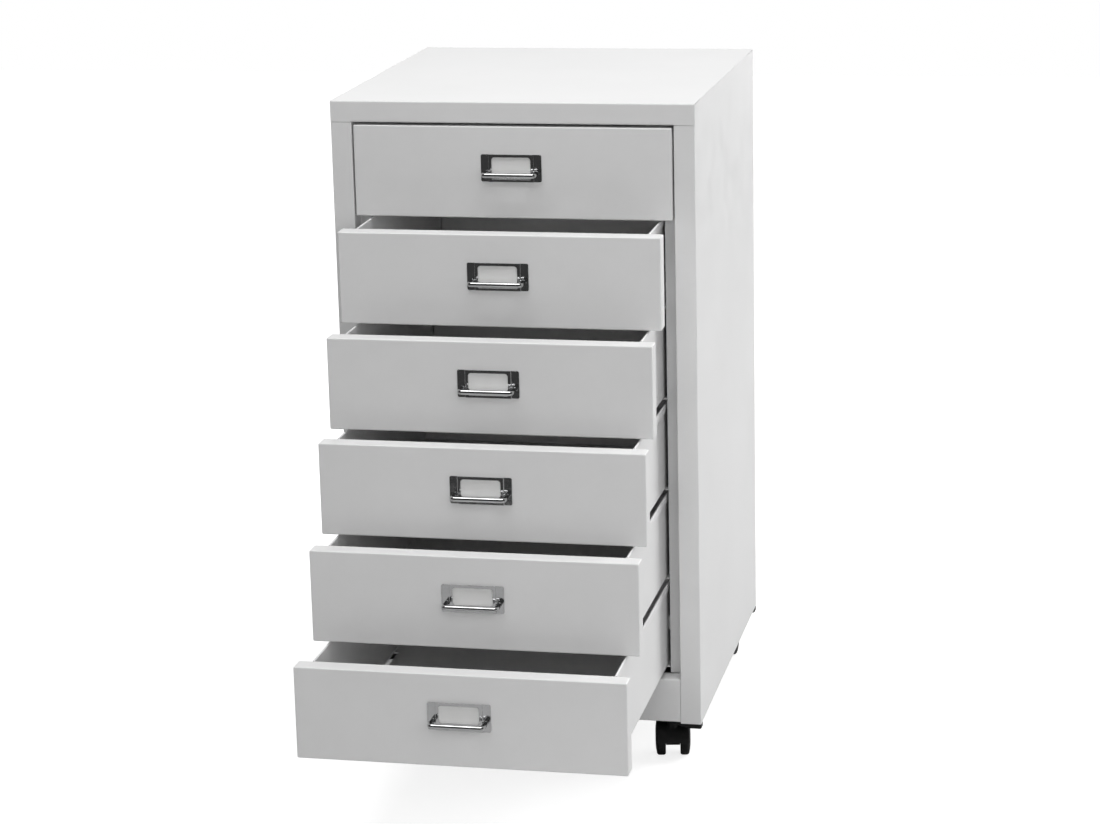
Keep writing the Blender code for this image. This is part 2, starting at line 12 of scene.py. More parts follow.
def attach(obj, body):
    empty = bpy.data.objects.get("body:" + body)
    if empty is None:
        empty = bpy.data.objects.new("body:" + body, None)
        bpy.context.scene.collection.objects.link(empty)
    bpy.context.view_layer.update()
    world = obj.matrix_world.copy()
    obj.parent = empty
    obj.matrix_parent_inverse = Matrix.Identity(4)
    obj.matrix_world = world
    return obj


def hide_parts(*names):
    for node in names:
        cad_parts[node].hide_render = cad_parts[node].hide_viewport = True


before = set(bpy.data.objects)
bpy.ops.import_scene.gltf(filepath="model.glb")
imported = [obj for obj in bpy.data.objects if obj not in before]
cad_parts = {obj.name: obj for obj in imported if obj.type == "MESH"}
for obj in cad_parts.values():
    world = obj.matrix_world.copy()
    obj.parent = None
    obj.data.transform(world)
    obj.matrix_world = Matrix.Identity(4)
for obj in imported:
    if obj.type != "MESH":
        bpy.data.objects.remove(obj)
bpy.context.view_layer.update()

# Sizes of the part
SEAM = 0.0003                   # between pieces that lie against each other
RUNNING_CLEARANCE = 0.0003      # between a shaft and its bore, and beside a wheel
CABINET_WIDTH = 0.360
CABINET_DEPTH = 0.385
SHEET = 0.0008
STILE_WIDTH = 0.0206
REBATE_DEPTH = 0.0205
SETBACK_FLANGE = 0.013
LIP_HEIGHT = 0.0212
LIP_RETURN = 0.012
RAIL_HEIGHT = 0.0465
LEDGE_DROP = 0.010
REAR_FLANGE = 0.012
SEAT_FLANGE = 0.030
FOLD_RELIEF = 0.030
PULLED_OUT = (0.0, 0.2464, 0.4286, 0.5786, 0.7357, 0.9714)  # share of the travel, from the top drawer down
DRAWER_COUNT = len(PULLED_OUT)
FRONT_HEIGHT = 0.090
FRONT_GAP = 0.0027
FRONT_SIDE_GAP = 0.0017
FRONT_THICKNESS = 0.0185
FRONT_RETURN = 0.016
TRAY_SHEET = 0.0007
TRAY_SIDE_CLEARANCE = 0.0034
TRAY_REAR_CLEARANCE = 0.045
TRAY_LIFT = 0.0039
STOP_TO_BACK = 0.0365
STOP_OVERLAP = 0.005
STOP_HEIGHT = 0.014
SLOT_WIDTH = 0.005
SLOT_LENGTH = 0.058
SLOT_TO_STOP = 0.010
SLOT_TO_WALL = 0.0005
HOLDER_WIDTH = 0.060
HOLDER_HEIGHT = 0.0267
HOLDER_ABOVE_MIDDLE = 0.0045
HOLDER_SHEET = 0.0008
POCKET_WIDTH = 0.0446
POCKET_RISE = 0.001
WINDOW_SIDE_MARGIN = 0.003
WINDOW_TOP_MARGIN = 0.0027
WINDOW_BOTTOM_MARGIN = 0.0068
CARD_THICKNESS = 0.0003
CARD_END_MARGIN = 0.001
WIRE_DIAMETER = 0.0048
PULL_REACH = 0.0155
PULL_DROP = 0.0049
PULL_BEND = 0.0028
WHEEL_RADIUS = 0.020
WHEEL_WIDTH = 0.0096
WHEEL_SHOULDER = 0.003
AXLE_RADIUS = 0.003
AXLE_INSET = 0.0008
WHEEL_DISH = 0.0015
HOOD_WEB = 0.0142
HOOD_LOWER_RADIUS = 0.010
COVER_INNER = 0.021
COVER_OUTER = 0.0228
COVER_REAR_ANGLE = -5.0         # degrees
COVER_FRONT_ANGLE = 182.0       # degrees
BOSS_DEPTH = 0.016
STEM_RADIUS = 0.004
TRAIL = 0.012
STEM_INSET = 0.035
FRONT_CASTOR_TURN = 10.0        # degrees
PLATE_SIZE = 0.052
PLATE_THICKNESS = 0.0045
PLATE_TIP = 0.012
PLATE_BACK = 0.028
CASTOR_HEIGHT = 0.046

# Folds, hems, seams, beads and edges that only show
CABINET_FOLD = 0.0018
SEAT_FOLD = 0.0004
FRONT_FOLD = 0.0014
TRAY_FOLD = 0.0015
HEM_DROP = 0.006
HEM_GAP = 0.0009
HEM_FOLD = 0.0004
CORNER_SEAM = 0.0016
CORNER_SEAM_FOOT = 0.016
HOLDER_FOLD = 0.00045
HOLDER_CORNER = 0.0017
HOLDER_TRIM = 0.001             # cut off all round when the holder's outline is made
WINDOW_CORNER = 0.0030
BEAD_RADIUS = 0.0011
BEAD_END = 0.0006
BEAD_HEIGHT = 0.0030
CARD_CORNER = 0.0006
COVER_RIM = 0.0017
WEB_LAP = 4.0                   # degrees that the web stops short of the cover's ends
BOSS_INSET = 0.0006
BOSS_EDGE = 0.0008
STEM_EDGE = 0.0006
STEM_TOP_INSET = 0.0005
AXLE_EDGE = 0.0006
PLATE_CORNER = 0.0018
HUB_RADIUS = 0.0050
HUB_SINK = 0.0012
SHOULDER_SINK = 0.0003
WHEEL_FACE = ((0.0056, 0.0007), (0.0062, 0.0009), (0.0100, 0.000765), (0.0138, 0.000315))  # radius, rise
WHEEL_INNER_RIM = ((0.0, 0.0021), (0.0004, 0.0009), (0.0012, 0.0002), (0.0018, 0.0))  # inset, height
SHEET_EDGE = 0.0002
HOLDER_EDGE = 0.00022
CARD_EDGE = 0.00005
MOULDED_EDGE = 0.0005

# Steps round curves
FOLD_STEPS = 5
HEM_STEPS = 3
CORNER_STEPS = 6
BEND_STEPS = 12
ARC_STEPS = 40
WIRE_RESOLUTION = 8
BEAD_STEPS = 32
PIN_STEPS = 40
BOSS_STEPS = 48
WHEEL_STEPS = 96

# Tolerances, and the least angles of what is rounded
NEAR = 1e-6                     # metres
SAME_POINT = 1e-7               # metres
ALONG_AXIS = 0.999              # cosine of an edge's angle to an axis
FOLD_ANGLE = 0.5                # radians
HEM_ANGLE = 1.2                 # radians
EDGE_ANGLE = 40.0               # degrees
HOLDER_EDGE_ANGLE = 50.0        # degrees

# Studio
FLOOR_WIDTH = 8.0
FLOOR_DEPTH = 6.0
FLOOR_IN_FRONT = 1.15
FLOOR_GREY = 0.50
FLOOR_ROUGHNESS = 0.9
GLOW_UNDER = 0.80               # of white, near the pedestal
GLOW_START = 0.5
GLOW_END = 1.4
WALL_GREY = 0.06
CEILING_GREY = 0.22
WALL_END = 0.78                 # from 0, straight down, to 1, straight up
CEILING_START = 0.95
BACKDROP_START = 0.15           # from 0, sideways, to 1, straight back
BACKDROP_END = 0.5
CAMERA_AZIMUTH = 12.40          # degrees
CAMERA_ELEVATION = 14.557       # degrees
CAMERA_ROLL = -1.3607           # degrees
CAMERA_DISTANCE = 2.9306
CAMERA_LENS = 97.27             # millimetres
CAMERA_SENSOR = 36.0            # millimetres
TARGET_RIGHT = 0.0325
TARGET_ABOVE_BOTTOM = 0.3193

# Worked out from the sizes above
HALF_WIDTH = CABINET_WIDTH / 2
DRAWER_PITCH = FRONT_HEIGHT + FRONT_GAP
CABINET_HEIGHT = RAIL_HEIGHT + DRAWER_COUNT * DRAWER_PITCH + FRONT_GAP + LIP_HEIGHT
OPENING_HALF = HALF_WIDTH - STILE_WIDTH
FLANGE_EDGE = OPENING_HALF - SETBACK_FLANGE
FLANGE_BACK = REBATE_DEPTH + SHEET
SIDE_TOP = CABINET_HEIGHT - SHEET - SEAM
LIP_BOTTOM = CABINET_HEIGHT - LIP_HEIGHT
FLOOR_BOTTOM = SHEET + SEAM
BACK_INNER = CABINET_DEPTH - 2 * SHEET - SEAM
FRONT_HALF = OPENING_HALF - FRONT_SIDE_GAP
TRAY_HALF = FLANGE_EDGE - TRAY_SIDE_CLEARANCE
TRAY_FRONT = FRONT_THICKNESS + SEAM
TRAY_BACK = BACK_INNER - TRAY_REAR_CLEARANCE
STOP_FRONT = TRAY_BACK - STOP_TO_BACK
DRAWER_TRAVEL = STOP_FRONT - SEAM - FLANGE_BACK
HOLDER_MIDDLE = FRONT_HEIGHT / 2 + HOLDER_ABOVE_MIDDLE
WING_FACE = SEAM + HOLDER_SHEET
POCKET_FACE = WING_FACE + POCKET_RISE
LEG_X = POCKET_WIDTH / 2 + WIRE_DIAMETER / 2 + SEAM
AXLE_BORE = AXLE_RADIUS + RUNNING_CLEARANCE
WHEEL_INNER_FACE = HOOD_WEB / 2 + RUNNING_CLEARANCE
CASTOR_HALF = WHEEL_INNER_FACE + WHEEL_WIDTH
CABINET_BOTTOM = CASTOR_HEIGHT + PLATE_THICKNESS + SEAM
FRONT_REACH = max(PULLED_OUT) * DRAWER_TRAVEL + PULL_REACH + WIRE_DIAMETER / 2
FRONT_PLANE = (FRONT_REACH - CABINET_DEPTH) / 2


# Shader groups, built once and placed in each finish with its own values

FLOAT = "NodeSocketFloat"
COLOR = "NodeSocketColor"
VECTOR = "NodeSocketVector"
SPAN = (("Pattern", FLOAT, 0.5), ("Start", FLOAT, 0.3), ("End", FLOAT, 0.7))


def new_group(name, inputs, output, kind):
    """A node group with named sockets: its tree, what it is given and its one result."""
    tree = bpy.data.node_groups.new(name, "ShaderNodeTree")
    for label, socket_kind, value in inputs:
        socket = tree.interface.new_socket(name=label, in_out="INPUT", socket_type=socket_kind)
        socket.default_value = value
    tree.interface.new_socket(name=output, in_out="OUTPUT", socket_type=kind)
    given = tree.nodes.new("NodeGroupInput")
    result = tree.nodes.new("NodeGroupOutput")
    return tree, given.outputs, result.inputs[output]


def pattern_group():
    """Noise from 0 to 1 over a piece, drawn out along an axis where its stretch is uneven."""
    inputs = (("Scale", FLOAT, 100.0), ("Detail", FLOAT, 2.0), ("Breakup", FLOAT, 0.5),
              ("Stretch", VECTOR, (1.0, 1.0, 1.0)))
    tree, given, result = new_group("surface_pattern", inputs, "Pattern", FLOAT)
    place = tree.nodes.new("ShaderNodeTexCoord")
    mapping = tree.nodes.new("ShaderNodeMapping")
    noise = tree.nodes.new("ShaderNodeTexNoise")
    tree.links.new(place.outputs["Object"], mapping.inputs["Vector"])
    tree.links.new(given["Stretch"], mapping.inputs["Scale"])
    tree.links.new(mapping.outputs["Vector"], noise.inputs["Vector"])
    tree.links.new(given["Scale"], noise.inputs["Scale"])
    tree.links.new(given["Detail"], noise.inputs["Detail"])
    tree.links.new(given["Breakup"], noise.inputs["Roughness"])
    tree.links.new(noise.outputs["Fac"], result)
    return tree


def spread(tree, given):
    """Node for how far a pattern has come from its start to its end, from 0 to 1."""
    node = tree.nodes.new("ShaderNodeMapRange")
    tree.links.new(given["Pattern"], node.inputs["Value"])
    tree.links.new(given["Start"], node.inputs["From Min"])
    tree.links.new(given["End"], node.inputs["From Max"])
    return node


def tone_group():
    """Colour from dark to light along a pattern."""
    inputs = (*SPAN, ("Dark", COLOR, (0.0, 0.0, 0.0, 1.0)), ("Light", COLOR, (1.0, 1.0, 1.0, 1.0)))
    tree, given, result = new_group("surface_tone", inputs, "Color", COLOR)
    mix = tree.nodes.new("ShaderNodeMix")
    mix.data_type = "RGBA"
    dark, light = [socket for socket in mix.inputs if socket.type == "RGBA"]
    tree.links.new(spread(tree, given).outputs["Result"], mix.inputs["Factor"])
    tree.links.new(given["Dark"], dark)
    tree.links.new(given["Light"], light)
    tree.links.new(next(socket for socket in mix.outputs if socket.type == "RGBA"), result)
    return tree


def gloss_group():
    """Roughness from smooth to rough along a pattern."""
    inputs = (*SPAN, ("Smooth", FLOAT, 0.0), ("Rough", FLOAT, 1.0))
    tree, given, result = new_group("surface_gloss", inputs, "Roughness", FLOAT)
    node = spread(tree, given)
    tree.links.new(given["Smooth"], node.inputs["To Min"])
    tree.links.new(given["Rough"], node.inputs["To Max"])
    tree.links.new(node.outputs["Result"], result)
    return tree


def math_node(nodes, links, operation, first, second):
    node = nodes.new("ShaderNodeMath")
    node.operation = operation
    links.new(first, node.inputs[0])
    links.new(second, node.inputs[1])
    return node.outputs["Value"]


# Finishes

class Finish:
    """A material whose shader takes its colour, roughness and relief from the shared groups."""

    PATTERN = pattern_group()
    TONE = tone_group()
    GLOSS = gloss_group()

    def __init__(self, name, bump, distance, metallic=0.0, specular=0.5):
        self.material = bpy.data.materials.new(name)
        self.material.use_nodes = True
        self.nodes = self.material.node_tree.nodes
        self.links = self.material.node_tree.links
        self.shader = self.nodes["Principled BSDF"].inputs
        self.shader["Metallic"].default_value = metallic
        self.shader["Specular IOR Level"].default_value = specular
        relief = self.nodes.new("ShaderNodeBump")
        relief.inputs["Strength"].default_value = bump
        relief.inputs["Distance"].default_value = distance
        self.links.new(relief.outputs["Normal"], self.shader["Normal"])
        self.relief = relief.inputs["Height"]

    def place(self, tree, **values):
        """Place a shared group and give its inputs links or values."""
        group = self.nodes.new("ShaderNodeGroup")
        group.node_tree = tree
        for label, value in values.items():
            socket = group.inputs[label.capitalize()]
            if isinstance(value, bpy.types.NodeSocket):
                self.links.new(value, socket)
            else:
                socket.default_value = value
        return group.outputs[0]

    def pattern(self, scale, detail, **values):
        return self.place(self.PATTERN, scale=scale, detail=detail, **values)

    def blend(self, first, second, share):
        """Two patterns in one, with the share that the first has."""
        node = self.nodes.new("ShaderNodeMix")
        node.inputs["Factor"].default_value = share
        self.links.new(second, node.inputs["A"])
        self.links.new(first, node.inputs["B"])
        return node.outputs["Result"]

    def product(self, first, second):
        return math_node(self.nodes, self.links, "MULTIPLY", first, second)

    def tone(self, pattern, dark, light, **span):
        color = self.place(self.TONE, pattern=pattern, dark=(*dark, 1.0), light=(*light, 1.0), **span)
        self.links.new(color, self.shader["Base Color"])

    def gloss(self, pattern, smooth, rough, **span):
        roughness = self.place(self.GLOSS, pattern=pattern, smooth=smooth, rough=rough, **span)
        self.links.new(roughness, self.shader["Roughness"])

    def height(self, pattern):
        self.links.new(pattern, self.relief)


def powder_coat():
    """Sprayed powder coat: faint mottling, orange peel and fine grain."""
    finish = Finish("painted_steel", bump=0.16, distance=0.00006)
    cloud = finish.pattern(6.0, 3.0)
    smudge = finish.pattern(38.0, 3.0, breakup=0.6)
    peel = finish.pattern(520.0, 1.5)
    grain = finish.pattern(2600.0, 1.0)
    finish.tone(finish.blend(cloud, smudge, 0.65), dark=(0.775, 0.775, 0.775), light=(0.815, 0.815, 0.815))
    finish.gloss(smudge, smooth=0.36, rough=0.47)
    finish.height(finish.blend(peel, grain, 0.8))
    return finish.material


def chrome_plate():
    """Bright plating over pressed steel: fine polishing lines and a slight waviness."""
    finish = Finish("chrome", bump=0.25, distance=0.00004, metallic=1.0)
    bloom = finish.pattern(140.0, 3.0)
    lines = finish.pattern(60.0, 4.0, stretch=(1.0, 30.0, 30.0))
    wave = finish.pattern(170.0, 1.0)
    finish.tone(bloom, dark=(0.53, 0.535, 0.54), light=(0.58, 0.58, 0.585))
    finish.gloss(finish.product(bloom, lines), smooth=0.05, rough=0.15, start=0.1, end=0.4)
    finish.height(finish.blend(wave, lines, 0.9))
    return finish.material


def white_card():
    """Plain white card with a fibrous face."""
    finish = Finish("card", bump=0.3, distance=0.00005, specular=0.2)
    fibre = finish.pattern(700.0, 4.0, breakup=0.65, stretch=(1.0, 1.0, 3.0))
    cloud = finish.pattern(60.0, 2.0)
    finish.tone(finish.blend(fibre, cloud, 0.5), dark=(0.78, 0.78, 0.77), light=(0.845, 0.845, 0.84))
    finish.gloss(fibre, smooth=0.78, rough=0.92)
    finish.height(fibre)
    return finish.material


def moulded_plastic():
    """Black moulded plastic with a fine spark grain and a little dust."""
    finish = Finish("castor_plastic", bump=0.3, distance=0.00004, specular=0.3)
    spark = finish.pattern(1500.0, 2.0)
    dust = finish.pattern(95.0, 5.0, breakup=0.62)
    finish.tone(dust, dark=(0.006, 0.006, 0.006), light=(0.014, 0.014, 0.014), start=0.5, end=0.8)
    finish.gloss(dust, smooth=0.34, rough=0.52)
    finish.height(spark)
    return finish.material


def wheel_plastic():
    """Hard wheel plastic, scuffed round the tread."""
    finish = Finish("castor_tread", bump=0.25, distance=0.00006, specular=0.3)
    scuff = finish.pattern(55.0, 5.0, breakup=0.6, stretch=(22.0, 1.0, 1.0))
    dust = finish.pattern(130.0, 4.0)
    finish.tone(dust, dark=(0.007, 0.007, 0.007), light=(0.018, 0.018, 0.018), start=0.45, end=0.8)
    finish.gloss(scuff, smooth=0.36, rough=0.58)
    finish.height(scuff)
    return finish.material


def drawn_steel():
    """Drawn steel pin with lines along its length."""
    finish = Finish("castor_axle_steel", bump=0.2, distance=0.00004, metallic=1.0)
    drawn = finish.pattern(90.0, 4.0, stretch=(0.2, 12.0, 12.0))
    finish.tone(drawn, dark=(0.40, 0.40, 0.41), light=(0.52, 0.52, 0.53))
    finish.gloss(drawn, smooth=0.26, rough=0.42)
    finish.height(drawn)
    return finish.material


PAINT = powder_coat()
CHROME = chrome_plate()
CARD = white_card()
PLASTIC = moulded_plastic()
TREAD = wheel_plastic()
STEEL = drawn_steel()


# Mesh helpers

def add_object(name, data):
    item = bpy.data.objects.new(name, data)
    bpy.context.scene.collection.objects.link(item)
    return item


def mesh_from(bm, name):
    mesh = bpy.data.meshes.new(name)
    bm.to_mesh(mesh)
    bm.free()
    return mesh


def evaluated_mesh(item, name):
    """The mesh that an object's curve or modifiers make; the object goes."""
    graph = bpy.context.evaluated_depsgraph_get()
    mesh = bpy.data.meshes.new_from_object(item.evaluated_get(graph))
    mesh.name = name
    bpy.data.objects.remove(item, do_unlink=True)
    return mesh


def moved_copy(mesh, place, turn=0.0):
    copy = mesh.copy()
    copy.transform(Matrix.Translation(place) @ Matrix.Rotation(turn, 4, "Z"))
    return copy


def add_box(bm, low, high):
    low = Vector(low)
    high = Vector(high)
    cube = bmesh.ops.create_cube(bm, size=1.0)
    bmesh.ops.scale(bm, vec=high - low, verts=cube["verts"])
    bmesh.ops.translate(bm, vec=(low + high) / 2, verts=cube["verts"])


def drawn_out(corners, offset):
    """A flat outline drawn out along an offset."""
    bm = bmesh.new()
    face = bm.faces.new([bm.verts.new(corner) for corner in corners])
    grown = bmesh.ops.extrude_face_region(bm, geom=[face])["geom"]
    moved = [item for item in grown if isinstance(item, bmesh.types.BMVert)]
    bmesh.ops.translate(bm, vec=offset, verts=moved)
    bmesh.ops.recalc_face_normals(bm, faces=bm.faces)
    return bm


def round_edges(bm, edges, radius, steps=FOLD_STEPS):
    bmesh.ops.bevel(bm, geom=edges, offset=radius, segments=steps, profile=0.5, affect="EDGES", material=-1,
                    clamp_overlap=True)


def edges_along(bm, axis):
    """Edges that run along one axis."""
    index = "xyz".index(axis)
    return [edge for edge in bm.edges
            if abs((edge.verts[1].co - edge.verts[0].co).normalized()[index]) > ALONG_AXIS]


def rounded_block(name, low, high, radius, steps=CORNER_STEPS):
    """A block whose corners are round when seen from the front."""
    bm = bmesh.new()
    add_box(bm, low, high)
    round_edges(bm, edges_along(bm, "y"), radius, steps)
    return mesh_from(bm, name)


def arc(radius, start, end, centre, steps=ARC_STEPS):
    points = []
    for step in range(steps + 1):
        angle = math.radians(start + (end - start) * step / steps)
        points.append((centre[0] + radius * math.cos(angle), centre[1] + radius * math.sin(angle)))
    return points


def turned(name, profile, steps, axis=(0, 0, 1), place=(0, 0, 0)):
    """Spin (radius, height) points about an axis: a closed profile, or one from the axis to the axis."""
    bm = bmesh.new()
    verts = [bm.verts.new((radius, 0, height)) for radius, height in profile]
    pairs = list(zip(verts, verts[1:]))
    if profile[0][0] > 0:
        pairs.append((verts[-1], verts[0]))
    edges = [bm.edges.new(pair) for pair in pairs]
    bmesh.ops.spin(bm, geom=verts + edges, cent=(0, 0, 0), axis=(0, 0, 1), angle=2 * math.pi, steps=steps,
                   use_merge=True)
    bmesh.ops.remove_doubles(bm, verts=bm.verts, dist=SAME_POINT)
    bmesh.ops.recalc_face_normals(bm, faces=bm.faces)
    mesh = mesh_from(bm, name)
    turn = Vector((0, 0, 1)).rotation_difference(Vector(axis)).to_matrix().to_4x4()
    mesh.transform(Matrix.Translation(place) @ turn)
    return mesh


def rod(name, radius, top, foot, steps, axis=(0, 0, 1), place=(0, 0, 0), top_edge=0.0, foot_edge=0.0):
    """A round bar, with the edges of its ends cut off where asked."""
    rim = [(radius - top_edge, top), (radius, top - top_edge)] if top_edge else [(radius, top)]
    heel = [(radius, foot + foot_edge), (radius - foot_edge, foot)] if foot_edge else [(radius, foot)]
    return turned(name, [(0.0, top), *rim, *heel, (0.0, foot)], steps, axis, place)


def cut_mesh(base, operation, tools):
    """Join meshes to a base mesh, or cut them from it."""
    carrier = add_object(base.name, base)
    helpers = []
    for mesh in tools:
        helper = add_object(mesh.name, mesh)
        helpers.append(helper)
        modifier = carrier.modifiers.new(mesh.name, "BOOLEAN")
        modifier.operation = operation
        modifier.object = helper
    mesh = evaluated_mesh(carrier, base.name)
    for helper in helpers:
        bpy.data.objects.remove(helper, do_unlink=True)
    return mesh


# Sheet metal helpers

def flat_blank(bm, first, along, across):
    first = Vector(first)
    along = Vector(along)
    across = Vector(across)
    corners = (first, first + along, first + along + across, first + across)
    bm.faces.new([bm.verts.new(corner) for corner in corners])


def score(bm, axis, *places):
    """Cut the sheet's faces where planes across an axis meet them."""
    index = "xyz".index(axis)
    for place in places:
        point = Vector((0, 0, 0))
        normal = Vector((0, 0, 0))
        point[index] = place
        normal[index] = 1.0
        geometry = bm.verts[:] + bm.edges[:] + bm.faces[:]
        bmesh.ops.bisect_plane(bm, geom=geometry, dist=NEAR, plane_co=point, plane_no=normal)


def edges_on(edges, axis, place, span_axis=None, low=0.0, high=0.0):
    """Edges that lie in a plane across one axis, and whose middles lie in a span of another."""
    index = "xyz".index(axis)
    picked = []
    for edge in edges:
        if any(abs(vert.co[index] - place) > NEAR for vert in edge.verts):
            continue
        if span_axis:
            middle = (edge.verts[0].co + edge.verts[1].co)["xyz".index(span_axis)] / 2
            if not low < middle < high:
                continue
        picked.append(edge)
    return picked


def bends_over(bm, angle):
    return [edge for edge in bm.edges if len(edge.link_faces) == 2 and edge.calc_face_angle(0.0) > angle]


def faces_within(bm, low, high):
    """Faces whose middles lie in a box, on the right or mirrored on the left."""
    picked = []
    for face in bm.faces:
        middle = face.calc_center_median()
        middle.x = abs(middle.x)
        if all(start < value < end for start, value, end in zip(low, middle, high)):
            picked.append(face)
    return picked


def fold(bm, edges, offset):
    """Grow a flange from some edges; its free edges come back."""
    grown = bmesh.ops.extrude_edge_only(bm, edges=edges)["geom"]
    moved = [item for item in grown if isinstance(item, bmesh.types.BMVert)]
    bmesh.ops.translate(bm, vec=offset, verts=moved)
    free = set(moved)
    return [item for item in grown if isinstance(item, bmesh.types.BMEdge) and free.issuperset(item.verts)]


def face_outward(bm, outward):
    """Turn the sheet so that its widest face looks outward."""
    bmesh.ops.recalc_face_normals(bm, faces=bm.faces)
    widest = max(bm.faces, key=lambda face: face.calc_area())
    if widest.normal.dot(Vector(outward)) < 0:
        bmesh.ops.reverse_faces(bm, faces=bm.faces)


def folded(bm, name, outward, radius):
    """Turn the sheet outward and round its folds."""
    face_outward(bm, outward)
    round_edges(bm, bends_over(bm, FOLD_ANGLE), radius)
    bmesh.ops.dissolve_degenerate(bm, dist=NEAR, edges=bm.edges)
    return mesh_from(bm, name)


def show(node, mesh, material, body, thickness=0.0, edge=0.0, steps=2, limit=EDGE_ANGLE):
    """Put a piece in place of a node, riding on the node's body."""
    mesh.shade_smooth()
    mesh.materials.clear()
    mesh.materials.append(material)
    item = add_object(node + "_form", mesh)
    if thickness:
        solidify = item.modifiers.new("Sheet", "SOLIDIFY")
        solidify.thickness = thickness
        solidify.offset = -1.0
        solidify.use_even_offset = True
        solidify.use_quality_normals = True
    if edge:
        bevel = item.modifiers.new("Edges", "BEVEL")
        bevel.width = edge
        bevel.segments = steps
        bevel.limit_method = "ANGLE"
        bevel.angle_limit = math.radians(limit)
    normals = item.modifiers.new("Normals", "WEIGHTED_NORMAL")
    normals.keep_sharp = True
    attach(item, body)
    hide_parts(node)


# Cabinet, with the front plane at y = 0 and the bottom at z = 0

def top_panel():
    """Top with a lip at the front, the lip's return between the stiles and a flange at the back."""
    rear_half = HALF_WIDTH - REAR_FLANGE - SEAM
    bm = bmesh.new()
    flat_blank(bm, (-HALF_WIDTH, 0, CABINET_HEIGHT), (CABINET_WIDTH, 0, 0), (0, CABINET_DEPTH, 0))
    score(bm, "x", -rear_half, rear_half, -OPENING_HALF, OPENING_HALF)
    front = edges_on(bm.edges, "y", 0.0)
    rear = edges_on(bm.edges, "y", CABINET_DEPTH, "x", -rear_half, rear_half)
    lip = fold(bm, front, (0, 0, -LIP_HEIGHT))
    fold(bm, edges_on(lip, "y", 0.0, "x", -OPENING_HALF, OPENING_HALF), (0, LIP_RETURN, 0))
    fold(bm, rear, (0, 0, -REAR_FLANGE))
    return folded(bm, "top_panel", (0, 0, 1), CABINET_FOLD)


def side_panel(side):
    """Side with its stile, rebate and set-back flange at the front, and flanges on the other edges."""
    lip_clear = SHEET + SEAM
    stile_top = LIP_BOTTOM - SEAM
    bm = bmesh.new()
    flat_blank(bm, (side * HALF_WIDTH, 0, 0), (0, CABINET_DEPTH, 0), (0, 0, SIDE_TOP))
    score(bm, "y", lip_clear, FOLD_RELIEF, CABINET_DEPTH - FOLD_RELIEF)
    score(bm, "z", RAIL_HEIGHT, stile_top)
    notch = [face for face in bm.faces
             if face.calc_center_median().y < lip_clear and face.calc_center_median().z > stile_top]
    bmesh.ops.delete(bm, geom=notch, context="FACES")
    front = edges_on(bm.edges, "y", 0.0)
    rear = edges_on(bm.edges, "y", CABINET_DEPTH)
    seat = ("y", FOLD_RELIEF, CABINET_DEPTH - FOLD_RELIEF)
    top = edges_on(bm.edges, "z", SIDE_TOP, *seat)
    bottom = edges_on(bm.edges, "z", 0.0, *seat)
    stile = fold(bm, front, (-side * STILE_WIDTH, 0, 0))
    rebate = fold(bm, edges_on(stile, "y", 0.0, "z", RAIL_HEIGHT, stile_top), (0, REBATE_DEPTH, 0))
    fold(bm, rebate, (-side * SETBACK_FLANGE, 0, 0))
    fold(bm, rear, (-side * REAR_FLANGE, 0, 0))
    fold(bm, top + bottom, (-side * SEAT_FLANGE, 0, 0))
    round_edges(bm, top + bottom, SEAT_FOLD)
    return folded(bm, "side_panel", (side, 0, 0), CABINET_FOLD)


def bottom_panel():
    """Bottom with the front rail, its ledge and the ledge's edge folded down, and a flange at the back."""
    half = OPENING_HALF - SEAM
    bm = bmesh.new()
    flat_blank(bm, (-half, 0, FLOOR_BOTTOM), (2 * half, 0, 0), (0, CABINET_DEPTH, 0))
    front = edges_on(bm.edges, "y", 0.0)
    rear = edges_on(bm.edges, "y", CABINET_DEPTH)
    rail = fold(bm, front, (0, 0, RAIL_HEIGHT - FLOOR_BOTTOM))
    ledge = fold(bm, rail, (0, REBATE_DEPTH - SEAM, 0))
    fold(bm, ledge, (0, 0, -LEDGE_DROP))
    fold(bm, rear, (0, 0, REAR_FLANGE))
    return folded(bm, "bottom_panel", (0, 0, -1), CABINET_FOLD)


def build_cabinet():
    place = (0, FRONT_PLANE, CABINET_BOTTOM)
    for node, mesh in (("top_panel", top_panel()), ("bottom_panel", bottom_panel()),
                       ("right_side_panel", side_panel(1)), ("left_side_panel", side_panel(-1))):
        show(node, moved_copy(mesh, place), PAINT, "cabinet", thickness=SHEET, edge=SHEET_EDGE)
    for node in ("back_panel", "left_runner_rack", "right_runner_rack"):
        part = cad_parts[node]
        part.data.materials.clear()
        part.data.materials.append(PAINT)


# Drawers, with the front's face at y = 0 and its lower edge at z = 0

def drawer_front():
    """Box-folded front with returns all round, open at the back."""
    bm = bmesh.new()
    add_box(bm, (-FRONT_HALF, 0, 0), (FRONT_HALF, FRONT_THICKNESS, FRONT_HEIGHT))
    rear = [face for face in bm.faces if face.normal.y > 1 - NEAR]
    bmesh.ops.inset_region(bm, faces=rear, thickness=FRONT_RETURN, use_even_offset=True)
    bmesh.ops.delete(bm, geom=rear, context="FACES")
    return folded(bm, "drawer_front", (0, -1, 0), FRONT_FOLD)


